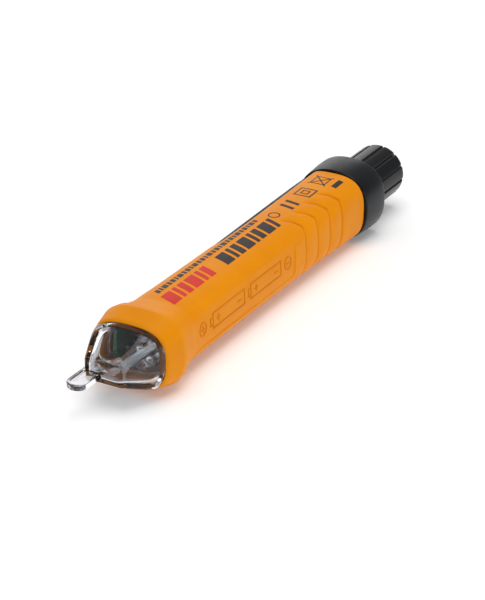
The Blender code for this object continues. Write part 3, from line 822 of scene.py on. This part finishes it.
def lens_ring(s, inset, angles, corner=1.0):
    """A section of the clear tip: nearly a rectangle at its face, a rounded square at its rim."""
    t = np.clip((s - FACE_S) / (RIM_S - FACE_S), 0, 1)
    half = [low + (high - low) * t - inset for low, high in zip(FACE_HALF, LENS_RIM_HALF)]
    squareness = SQUARENESS + (FACE_SQUARENESS * corner - SQUARENESS) * (1 - t**2.2)
    return square_ring(s, half, squareness, angles, FACE_Z * (1 - t))


def make_tip_lens(looks):
    """The hollow clear tip: a blunt pyramid whose rear end slips into the casing."""
    columns = 192 // FINE
    angles = ring_angles(columns, 4.0)
    spigot = grown(MOUTH_HALF, -SPIGOT_GAP)
    rings = []
    for t in arc(6)[::-1]:
        s = FACE_S + LENS_EDGE * (1 - math.sin(t))
        rings.append(lens_ring(s, LENS_EDGE * (1 - math.cos(t)), angles))
    rings += [lens_ring(s, 0.0, angles) for s in np.linspace(FACE_S + 1.0, RIM_S, 20)]
    rings += [square_ring(s, spigot, SQUARENESS, angles) for s in (RIM_S + 1.7, SPIGOT_END_S)]
    inner = grown(spigot, -LENS_WALL)
    rings += [square_ring(s, inner, SQUARENESS, angles) for s in (SPIGOT_END_S, RIM_S + 1.0)]
    insets = [(s, LENS_WALL + 0.15) for s in np.linspace(RIM_S - 0.6, FACE_S + 2.2, 12)]
    insets += [(FACE_S + 1.7, 1.55), (FACE_S + 1.5, 1.9)]
    rings += [lens_ring(s, inset, angles, INNER_CORNER) for s, inset in insets]
    piece = loft("tip_lens_skin", rings, smooth_angle=30)
    cut_with(piece, loft("blade", blade_rings()), "UNION")
    cut_with(piece, loft("blade_pocket", pocket_rings()))
    finish_piece(piece, looks["clear"], "tester_body", "clear_lens", "tip_lens")


def blade_outline(inset=0.0, root=FACE_S + 0.9, count=33):
    """The blade seen from above: straight sides and a round free end."""
    r = TONGUE_HALF_WIDTH - inset
    t = np.linspace(0, math.pi, count)
    along_pen = inset + r * (1 - np.sin(t))
    across = TONGUE_Y - r * np.cos(t)
    outline = np.column_stack([along_pen, across])
    return np.vstack([[root, TONGUE_Y - r], outline, [root, TONGUE_Y + r]])


def blade_rings():
    """The blade's outline stacked from its underside to its top, with rounded edges."""
    half = TONGUE_THICKNESS / 2
    edge = BLADE_EDGE
    rings = []
    for sign in (-1, 1):
        for t in arc(5):
            inset = edge * (1 - math.cos(t)) if sign < 0 else edge * (1 - math.sin(t))
            up = half - edge * (1 - (math.sin(t) if sign < 0 else math.cos(t)))
            outline = blade_outline(inset)
            rings.append(np.column_stack([outline, np.full(len(outline), TONGUE_Z + sign * up)]))
    low, high = rings[:5][::-1], rings[5:][::-1]
    return low + high


def pocket_rings():
    """The shallow pocket inside the blade's raised rim."""
    top = TONGUE_Z + TONGUE_THICKNESS / 2
    rings = []
    for z, inset in ((top - 0.35, 1.15), (top - 0.25, 1.0), (top + 0.1, 0.8)):
        outline = blade_outline(inset, FACE_S - 0.7)
        rings.append(np.column_stack([outline, np.full(len(outline), z)]))
    return rings


# ---------- inside the tip

TORCH_Y, TORCH_Z = -3.8, -0.5
TORCH_R, TORCH_FLANGE_R = 2.5, 2.65
HOLDER_INNER_R, HOLDER_OUTER_R = 2.7, 3.35
LIGHT_GUIDE_PATH = ((21.4, -7.9, 5.2), (16.5, -6.0, 3.7), (11.6, -4.1, 2.1))
LIGHT_GUIDE_R = 0.5
ALARM_R, ALARM_FLANGE_R = 1.4, 1.75


def dome(front, radius, steps):
    """(s, radius) pairs for a round nose that starts at front."""
    nose = ((radius * (1 - math.cos(t)), radius * math.sin(t)) for t in arc(steps))
    return [(front + back, max(out, 0.05)) for back, out in nose]


def make_torch(looks):
    """The torch LED: clear resin round a lead frame with a bright reflector cup."""
    front, rear = along("torch_led", 0), along("torch_led", 1)
    flange_s, flange = rear - 1.0, TORCH_FLANGE_R
    profile = dome(front, TORCH_R, 14)
    profile += [(flange_s, TORCH_R), (flange_s + 0.05, flange), (rear - 0.1, flange), (rear, 2.55)]
    piece = loft("torch_led_resin", turned(profile, 48, TORCH_Y, TORCH_Z))
    finish_piece(piece, looks["led"], "tester_body", "led_resin", "torch_led")
    cup_s = front + 4.2
    cup = [(0.0, 0.75), (0.0, 1.0), (1.1, 1.0), (1.1, 0.25), (0.6, 0.25)]
    cup = [(cup_s + s, radius) for s, radius in cup]
    reflector = joined("torch_reflector", [(turned(cup, 24, TORCH_Y, TORCH_Z), True)], 30)
    finish_piece(reflector, looks["die"], "tester_body", "bright_metal")
    post = []
    for start, z_start, z_end in ((cup_s + 1.2, -0.7, -1.2), (cup_s + 0.6, 1.5, 1.3)):
        ends = [(start, TORCH_Y, TORCH_Z + z_start), (rear - 0.4, TORCH_Y, TORCH_Z + z_end)]
        post.append((tube_rings(ends, 0.28, 8), False))
    posts = joined("torch_lead_frame", post, 30)
    finish_piece(posts, looks["plated"], "tester_body", "bright_metal")


def make_holder(looks):
    """The ring that holds the torch LED, drawn in the clear resin look."""
    start, end = along("led_holder", 0), along("led_holder", 1)
    inner, outer = HOLDER_INNER_R, HOLDER_OUTER_R
    profile = [
        (start, inner + 0.15),
        (start, outer - 0.3),
        (start + 0.15, outer - 0.15),
        (end - 1.0, outer - 0.1),
        (end - 0.9, outer + 0.1),
        (end - 0.1, outer + 0.1),
        (end, outer),
        (end, inner),
        (start + 0.15, inner),
    ]
    piece = loft("led_holder_skin", turned(profile, 56, TORCH_Y, TORCH_Z), hollow=True)
    finish_piece(piece, looks["led"], "tester_body", "milky_plastic", "led_holder")


def make_light_guide(looks):
    """A translucent rod in the tip's upper right corner, from the mouth to the blunt face."""
    piece = loft("light_guide", tube_rings(LIGHT_GUIDE_PATH, LIGHT_GUIDE_R, 20))
    finish_piece(piece, looks["holder"], "tester_body", "milky_plastic")


def make_alarm_led(looks):
    """The milky bulb low in the tip."""
    front, rear = along("alarm_led", 0), along("alarm_led", 1)
    low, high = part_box("alarm_led")
    y = ((low.y + high.y) / 2 - AXIS.y) / MM
    z = ((low.z + high.z) / 2 - AXIS.z) / MM
    flange = ALARM_FLANGE_R
    profile = dome(front, ALARM_R, 12)
    profile += [(rear - 0.6, ALARM_R), (rear - 0.55, flange), (rear - 0.05, flange), (rear, 1.7)]
    piece = loft("alarm_led_bulb", turned(profile, 40, y, z))
    finish_piece(piece, looks["bulb"], "tester_body", "milky_bulb", "alarm_led")


# ---------- buttons

BEZEL_S = 51.5
BEZEL_HALF = (12.0, 4.4)
BUTTONS_S = {"power": 45.5, "torch": 57.5}
BUTTON_HALF = (4.2, 2.6)
BUTTON_GAP = 0.28
BUTTON_EDGE = 0.7
BUTTON_TOP_Y = 11.3
BUTTON_FLANGE_Y = (7.6, 8.0)
BEZEL_Y = (8.9, 10.7)
BEZEL_GAP = 0.25
BEZEL_EDGE = 0.45
CUTTER_Y = (7.0, 13.0)
SIGN_WIDTH = 0.28
KEY_SLOTS = {"power": "power_red", "torch": "torch_grey"}


def rounded_top(top, s, half, edge, steps, count):
    """Outlines that round off a stadium shape's outer edge, up to its top."""
    rings = []
    for t in arc(steps):
        inset = edge * (1 - math.cos(t))
        y = top - edge + edge * math.sin(t)
        rings.append(stadium_ring(y, s, grown(half, -inset), count=count))
    return rings


def make_bezel(looks):
    """The dark surround with a hole for each button."""
    low, high = BEZEL_Y
    rings = [stadium_ring(low, BEZEL_S, BEZEL_HALF, count=96)]
    rings += rounded_top(high, BEZEL_S, BEZEL_HALF, BEZEL_EDGE, 7, 96)
    piece = loft("button_bezel_skin", rings)
    hole = grown(BUTTON_HALF, BUTTON_GAP)
    for s in BUTTONS_S.values():
        cut_with(piece, loft("hole", [stadium_ring(y, s, hole, count=72) for y in CUTTER_Y]))
    finish_piece(piece, looks["bezel"], "tester_body", "bezel_rubber", "button_bezel")


def make_buttons(looks):
    """Each button with its flange under the bezel and its sign on top."""
    flange_low, flange_high = BUTTON_FLANGE_Y
    flange = (BUTTON_HALF[0] + 0.7, BUTTON_HALF[1] + 0.5)
    for name, s in BUTTONS_S.items():
        rings = [stadium_ring(y, s, flange, count=72) for y in (flange_low, flange_high)]
        rings.append(stadium_ring(flange_high, s, BUTTON_HALF, count=72))
        rings += rounded_top(BUTTON_TOP_Y, s, BUTTON_HALF, BUTTON_EDGE, 8, 72)
        piece = loft(f"{name}_button_cap", rings)
        finish_piece(piece, looks[name], f"{name}_key", KEY_SLOTS[name], f"{name}_button")
        make_legend(looks, name, s)


def button_face(along_pen, across):
    """The reach of a button's sign towards -Y, which is minus the height of its top."""
    return np.full(len(along_pen), -BUTTON_TOP_Y - 0.02)


def make_legend(looks, name, s):
    """A plain sign on each button: a ring with a bar, or a dot with rays."""
    if name == "power":
        t = np.radians(np.linspace(35, 325, 24))
        drawn = [np.column_stack([s + 1.1 * np.cos(t), 1.1 * np.sin(t)])]
        drawn.append([(s + 0.3, 0), (s + 1.5, 0)])
    else:
        drawn = [ring_line(s, 0, 0.6, 16)]
        for t in np.radians(np.arange(0, 360, 60)):
            c, d = math.cos(t), math.sin(t)
            drawn.append([(s + 1.0 * c, 1.0 * d), (s + 1.5 * c, 1.5 * d)])
    lines = [quad for line in drawn for quad in stroke_line(line, SIGN_WIDTH)]
    piece = ink_mesh(f"{name}_sign", lines, button_face, -0.02, 0.06, flip=True)
    finish_piece(piece, looks["legend"], f"{name}_key", KEY_SLOTS[name])


# ---------- collar, cap and clip

COLLAR_HALF = (12.05, 11.5)
CLIP_OUT_Y = 12.5
NOTCH_FLOOR_Y = 10.6
COLLAR_SQUARENESS = 2.35
COLLAR_END_S = 151.1
COLLAR_EDGE = 0.9
COLLAR_TAPER = 0.4
COLLAR_CHAMFER = 0.55
COLLAR_WIDEST_S = 147.0
PLUG_START_S = 134.2
PLUG_HALF, PLUG_TIP_HALF = (8.6, 8.1), (8.3, 7.8)
NOTCH_S, NOTCH_OUTER_Y, NOTCH_Z = (137.9, 145.5), 14.0, (-4.7, 4.7)
NECK_R = 6.35
NECK_BORE_R = 5.65
NECK_END_S = 162.0
THREAD_CLEARANCE = 0.3
THREAD_FADE = 0.8
THREAD_STEP = 0.2
THREAD_S = (153.6, 161.4)
THREAD_PITCH = 2.5
THREAD_HEIGHT = 0.6


def thread_ring(s, count, in_cap=False):
    """A section of the right-hand thread of the neck or of the cap, fading in and out."""
    start, end = THREAD_S
    angles = (np.arange(count) + 0.5) / count * 2 * math.pi
    fade = min(1.0, max(0.0, (s - start) / THREAD_FADE), max(0.0, (end - s) / THREAD_FADE))
    phase = 2 * math.pi * (s - start) / THREAD_PITCH - angles
    wave = 0.5 + 0.5 * np.cos(phase)
    ridge = 1 - fade * (1 - wave) if in_cap else fade * wave
    root = NECK_R + (THREAD_CLEARANCE if in_cap else 0.0)
    return circle_ring(s, root + THREAD_HEIGHT * ridge, count)


def make_collar(looks):
    """The collar: its plug in the casing, its own outside, the threaded neck and the bore."""
    columns = 96 * 2 // min(FINE, 2)
    angles = ring_angles(columns, COLLAR_SQUARENESS)
    front = BODY_END_S + 0.3
    lip = grown(COLLAR_HALF, -COLLAR_TAPER)
    sections = [(PLUG_START_S, PLUG_TIP_HALF), (PLUG_START_S + 0.4, PLUG_HALF)]
    sections += [(front, PLUG_HALF), (front, grown(lip, -COLLAR_CHAMFER - 0.1))]
    for t in arc(6):
        inset = COLLAR_TAPER + COLLAR_CHAMFER * (1 - math.sin(t))
        s = front + COLLAR_CHAMFER * (1 - math.cos(t))
        sections.append((s, grown(COLLAR_HALF, -inset)))
    sections += [(s, COLLAR_HALF) for s in (COLLAR_WIDEST_S, COLLAR_END_S - COLLAR_EDGE)]
    for t in arc(8):
        inset = COLLAR_EDGE * (1 - math.cos(t))
        s = COLLAR_END_S - COLLAR_EDGE * (1 - math.sin(t))
        sections.append((s, grown(COLLAR_HALF, -inset)))
    rings = [square_ring(s, half, COLLAR_SQUARENESS, angles) for s, half in sections]
    thread_rows = np.arange(THREAD_S[0], THREAD_S[1] + 0.01, THREAD_STEP)
    rings += [circle_ring(COLLAR_END_S, radius, columns) for radius in (NECK_R + 1.6, NECK_R)]
    rings += [thread_ring(s, columns) for s in thread_rows]
    rings.append(circle_ring(NECK_END_S - 0.1, NECK_R - 0.2, columns))
    rings += [circle_ring(NECK_END_S, radius, columns) for radius in (NECK_R - 0.3, NECK_BORE_R)]
    rings.append(circle_ring(PLUG_START_S, NECK_BORE_R, columns))
    piece = loft("rear_collar_skin", rings, hollow=True)
    cut_with(piece, box_piece("notch", NOTCH_S, (NOTCH_FLOOR_Y, NOTCH_OUTER_Y), NOTCH_Z))
    finish_piece(piece, looks["black"], "tester_body", "black_plastic", "rear_collar")


def box_piece(name, s, y, z):
    """A block between two s, two y and two z."""
    corners = [(y[0], z[0]), (y[1], z[0]), (y[1], z[1]), (y[0], z[1])]
    return loft(name, [[(end, a, b) for a, b in corners] for end in s])


CAP_R = 8.55
CAP_FLUTES = 12
CAP_BORE_R, CAP_SKIRT_R = 6.45, 7.45
CAP_BORE_S = (167.6, 162.6)
CAP_EDGE = 1.5
FLUTE_DEPTH = 0.45
FLUTE_START = math.radians(8)


def fluted_ring(s, radius, depth, count):
    """A section of the cap: broad round lobes with narrow grooves between them."""
    angles = (np.arange(count) + 0.5) / count * 2 * math.pi
    wave = np.abs(np.sin(CAP_FLUTES * (angles - FLUTE_START) / 2))
    groove = 1 - smoothstep(wave, 0.05, 0.4)
    return circle_ring(s, radius - depth * groove, count)


def make_cap(looks):
    """The cap from its threaded bore, round its skirt and along its lobes to its flat end."""
    count = CAP_FLUTES * (24 if FINE == 1 else 12)
    start, end = along("battery_cap", 0), LENGTH
    rings = [circle_ring(s, CAP_BORE_R, count) for s in CAP_BORE_S]
    thread_rows = np.arange(THREAD_S[1], THREAD_S[0] - 0.01, -THREAD_STEP)
    rings += [thread_ring(s, count, in_cap=True) for s in thread_rows]
    rings += [circle_ring(s, CAP_SKIRT_R, count) for s in (THREAD_S[0] - 0.2, start)]
    band = CAP_R - 0.45
    plain_band = ((0.0, -0.25), (0.25, 0.0), (1.7, 0.0), (1.9, -0.12), (2.1, 0.0))
    rings += [circle_ring(start + s, band + change, count) for s, change in plain_band]
    for t in np.linspace(0, 1, 7):
        lift = smoothstep(t, 0, 1)
        radius = band + (CAP_R - band) * lift
        rings.append(fluted_ring(start + 2.2 + 1.6 * t, radius, FLUTE_DEPTH * lift, count))
    lobes = np.linspace(start + 5, end - 2.4, 8)
    rings += [fluted_ring(s, CAP_R, FLUTE_DEPTH, count) for s in lobes]
    for t in arc(9):
        inset = CAP_EDGE * (1 - math.cos(t))
        depth = FLUTE_DEPTH * (1 - 0.85 * math.sin(t) ** 2)
        s = end - CAP_EDGE + CAP_EDGE * math.sin(t)
        rings.append(fluted_ring(s, CAP_R - inset, depth, count))
    rings.append(circle_ring(end, CAP_R - 2.4, count))
    rings.append(circle_ring(end - 0.25, CAP_R - 2.7, count))
    piece = loft("battery_cap_skin", rings)
    finish_piece(piece, looks["cap_black"], "cap", "black_plastic", "battery_cap")


def clip_ring(s, low, high, half, edge=0.45):
    """A rounded section of the clip's strap, from y low to high and half as wide as 2 half."""
    points = []
    for cy, cz, start in ((high, half, 0), (high, -half, -90), (low, -half, 180), (low, half, 90)):
        for t in np.radians(np.linspace(start, start + 90, 5)):
            y = cy - math.copysign(edge, cy - (low + high) / 2) + edge * math.cos(t)
            z = cz - math.copysign(edge, cz) + edge * math.sin(t)
            points.append((y, z))
    centre = np.mean(points, axis=0)
    order = sorted(points, key=lambda p: math.atan2(p[1] - centre[1], (p[0] - centre[0]) * half))
    return [(s, y, z) for y, z in order]


def make_clip(looks):
    """The pocket clip: a strap whose toe dips towards the casing and curls up at its end."""
    front = along("pocket_clip", 0)
    out = CLIP_OUT_Y
    toe_low = casing_half(front)[0] + 0.45
    stations = [
        (0.0, toe_low + 0.9, out - 0.6, 1.9),
        (0.35, toe_low + 0.55, out - 0.35, 2.5),
        (0.9, toe_low + 0.25, out - 0.2, 2.95),
        (1.7, toe_low + 0.05, out - 0.1, 3.2),
        (2.8, toe_low, out - 0.05, 3.25),
        (4.2, toe_low + 0.12, out, 3.3),
        (5.6, toe_low + 0.6, out, 3.35),
        (7.2, out - 1.3, out, 3.4),
        (20.0, out - 1.3, out, 3.7),
        (38.0, out - 1.3, out, 4.1),
        (52.0, out - 1.3, out, 4.4),
        (55.3, out - 1.4, out, 4.4),
        (61.6, out - 1.4, out, 4.4),
        (62.05, out - 1.4, out - 0.3, 4.25),
    ]
    rings = [clip_ring(front + s, low, high, half) for s, low, high, half in stations]
    piece = loft("pocket_clip_skin", rings)
    finish_piece(piece, looks["black"], "clip", "black_plastic", "pocket_clip")


# ---------- the CAD nodes that stay

NODES_BY_LOOK = {
    "board": "main_board",
    "resin": "microcontroller amplifier_chip front_resistor middle_resistor rear_resistor buzzer"
    " power_switch torch_switch",
    "plated": "sensor_strip capacitor upper_led_lead lower_led_lead left_alarm_lead"
    " right_alarm_lead positive_contact negative_strip cap_contact negative_spring",
    "sleeve": "battery_sleeve",
    "cell": "front_battery rear_battery",
    "bezel": "cap_seal",
}


def dress_nodes(looks):
    """Gives each CAD node that stays visible its material."""
    for key, names in NODES_BY_LOOK.items():
        for name in names.split():
            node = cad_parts[name]
            node.data.materials.clear()
            node.data.materials.append(looks[key])


# ---------- stage

CAMERA_S, CAMERA_Y, CAMERA_Z = -433.3, -284.5, 273.8
CAMERA_AZIMUTH, CAMERA_ELEVATION, CAMERA_ROLL = -61.16, 25.63, 0.86
FOCAL_IN_PICTURE_HEIGHTS = 3.81
BACKDROP_DIRECTION = (0.62, 0.74, 0.26)
BACKDROP_STRENGTH = 0.45
ROOM_STRENGTH = 0.1
FLOOR_GLOW = 0.14
# name, direction from the pen, distance (m), size (m), power (W)
LIGHTS = (
    ("overhead_softbox", (-0.05, -0.1, 0.99), 0.9, (0.8, 0.7), 6.0),
    ("rear_panel", (0.7, 0.62, 0.3), 1.0, (1.0, 0.5), 2.0),
    ("side_softbox", (-0.05, -0.97, 0.2), 0.9, (0.5, 0.4), 2.5),
)
SENSOR_MM = 36.0


def make_camera():
    camera = bpy.data.objects.new("camera", bpy.data.cameras.new("camera"))
    bpy.context.scene.collection.objects.link(camera)
    bpy.context.scene.camera = camera
    camera.data.sensor_width = SENSOR_MM
    camera.data.lens = FOCAL_IN_PICTURE_HEIGHTS * SENSOR_MM
    a, e, roll = (math.radians(v) for v in (CAMERA_AZIMUTH, CAMERA_ELEVATION, CAMERA_ROLL))
    back = Vector((math.sin(a) * math.cos(e), -math.cos(a) * math.cos(e), math.sin(e)))
    right = Vector((math.cos(a), math.sin(a), 0.0))
    up = back.cross(right)
    right, up = (
        right * math.cos(roll) + up * math.sin(roll),
        up * math.cos(roll) - right * math.sin(roll),
    )
    rotation = Matrix((right, up, back)).transposed().to_4x4()
    spot = Vector(place([(CAMERA_S, CAMERA_Y, CAMERA_Z)])[0])
    camera.matrix_world = Matrix.Translation(spot) @ rotation
    camera.data.clip_start = 0.01
    camera.data.clip_end = 20.0


def area_light(name, spot, size, watts):
    """A rectangular softbox that faces the pen."""
    light = bpy.data.lights.new(name, "AREA")
    light.shape = "RECTANGLE"
    light.size, light.size_y = size
    light.energy = watts
    lamp = bpy.data.objects.new(name, light)
    bpy.context.scene.collection.objects.link(lamp)
    lamp.location = spot
    lamp.rotation_euler = (-spot).to_track_quat("-Z", "Y").to_euler()


def make_stage():
    bpy.ops.mesh.primitive_plane_add(size=6.0, location=(0, 0, cad_low.z - 0.0001))
    floor = bpy.context.object
    floor.name = "floor"
    look = Look("pale_floor").set(rough=0.9, specular=0.2)
    drift = look.band(look.noise(0.002, 2), 0, 1)
    look.color(look.mix(drift, (0.91, 0.91, 0.91), (0.94, 0.94, 0.94)))
    look.shader.inputs["Emission Color"].default_value = (1.0, 1.0, 1.0, 1.0)
    look.shader.inputs["Emission Strength"].default_value = FLOOR_GLOW
    floor.data.materials.append(look.material)
    make_world()
    for name, direction, distance, size, watts in LIGHTS:
        spot = Vector(direction).normalized() * distance
        area_light(name, spot, size, watts)
    bpy.context.scene.view_settings.view_transform = "Standard"


def make_world():
    """A studio that is white behind the pen and overhead, and dimmer in front of it."""
    world = bpy.data.worlds.new("studio")
    bpy.context.scene.world = world
    world.use_nodes = True
    nodes, links = world.node_tree.nodes, world.node_tree.links
    direction = nodes.new("ShaderNodeTexCoord").outputs["Generated"]
    facing = nodes.new("ShaderNodeVectorMath")
    facing.operation = "DOT_PRODUCT"
    facing.inputs[1].default_value = BACKDROP_DIRECTION
    links.new(direction, facing.inputs[0])
    strength = nodes.new("ShaderNodeMapRange")
    strength.interpolation_type = "SMOOTHSTEP"
    strength.inputs["From Min"].default_value = -0.6
    strength.inputs["From Max"].default_value = 0.7
    strength.inputs["To Min"].default_value = ROOM_STRENGTH
    strength.inputs["To Max"].default_value = BACKDROP_STRENGTH
    links.new(facing.outputs["Value"], strength.inputs["Value"])
    background = nodes["Background"]
    background.inputs["Color"].default_value = (1.0, 1.0, 1.0, 1.0)
    links.new(strength.outputs["Result"], background.inputs["Strength"])


def main():
    looks = make_materials()
    dress_nodes(looks)
    make_casing(looks)
    make_prints(looks)
    make_polarity_marks(looks)
    make_tip_lens(looks)
    make_torch(looks)
    make_holder(looks)
    make_light_guide(looks)
    make_alarm_led(looks)
    make_bezel(looks)
    make_buttons(looks)
    make_collar(looks)
    make_cap(looks)
    make_clip(looks)
    make_camera()
    make_stage()


main()
